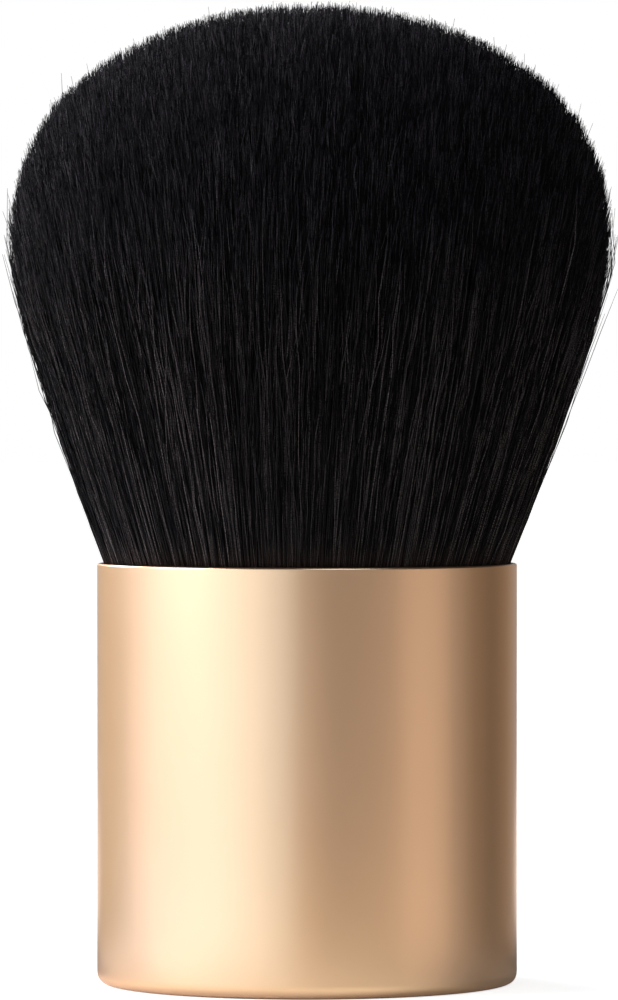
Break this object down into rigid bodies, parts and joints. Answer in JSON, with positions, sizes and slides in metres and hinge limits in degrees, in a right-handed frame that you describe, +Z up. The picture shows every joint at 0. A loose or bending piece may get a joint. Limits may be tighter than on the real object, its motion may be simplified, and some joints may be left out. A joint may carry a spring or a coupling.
{
  "type": "powder brush",
  "caption": "Short round powder brush: a drawn metal barrel that stands on its flat base, with a dense flared head of dark bristles cut to a dome.",
  "frame": {"origin": "centre of the flat base that the brush stands on", "axes": "+Z up the axis of the barrel, from the base to the bristle tips; the brush is round, so +X and +Y are free, and -Y is taken as the side that faces the picture"},
  "size_m": [0.046, 0.046, 0.0748],
  "materials": {
    "anodised_shell": "satin champagne gold anodising",
    "foam_tape": "matt closed-cell foam",
    "weight_steel": "zinc plated, turned faces",
    "foam": "matt closed-cell foam",
    "core_plastic": "moulded, fine matt",
    "glue": "set hot-melt glue, waxy",
    "ferrule_metal": "bright drawn tube",
    "resin": "clear amber, glossy",
    "thread": "twisted nylon",
    "bristles": "fine straight fibre, soft sheen"
  },
  "bodies": {
    "root": {"outer_shell": "anodised_shell", "base_tape": "foam_tape", "weight": "weight_steel", "foam_spacer": "foam", "inner_core": "core_plastic", "glue_beads": "glue", "ferrule": "ferrule_metal", "resin_plug": "resin", "root_binding": "thread", "bristle_tuft": "bristles"}
  },
  "joints": []
}
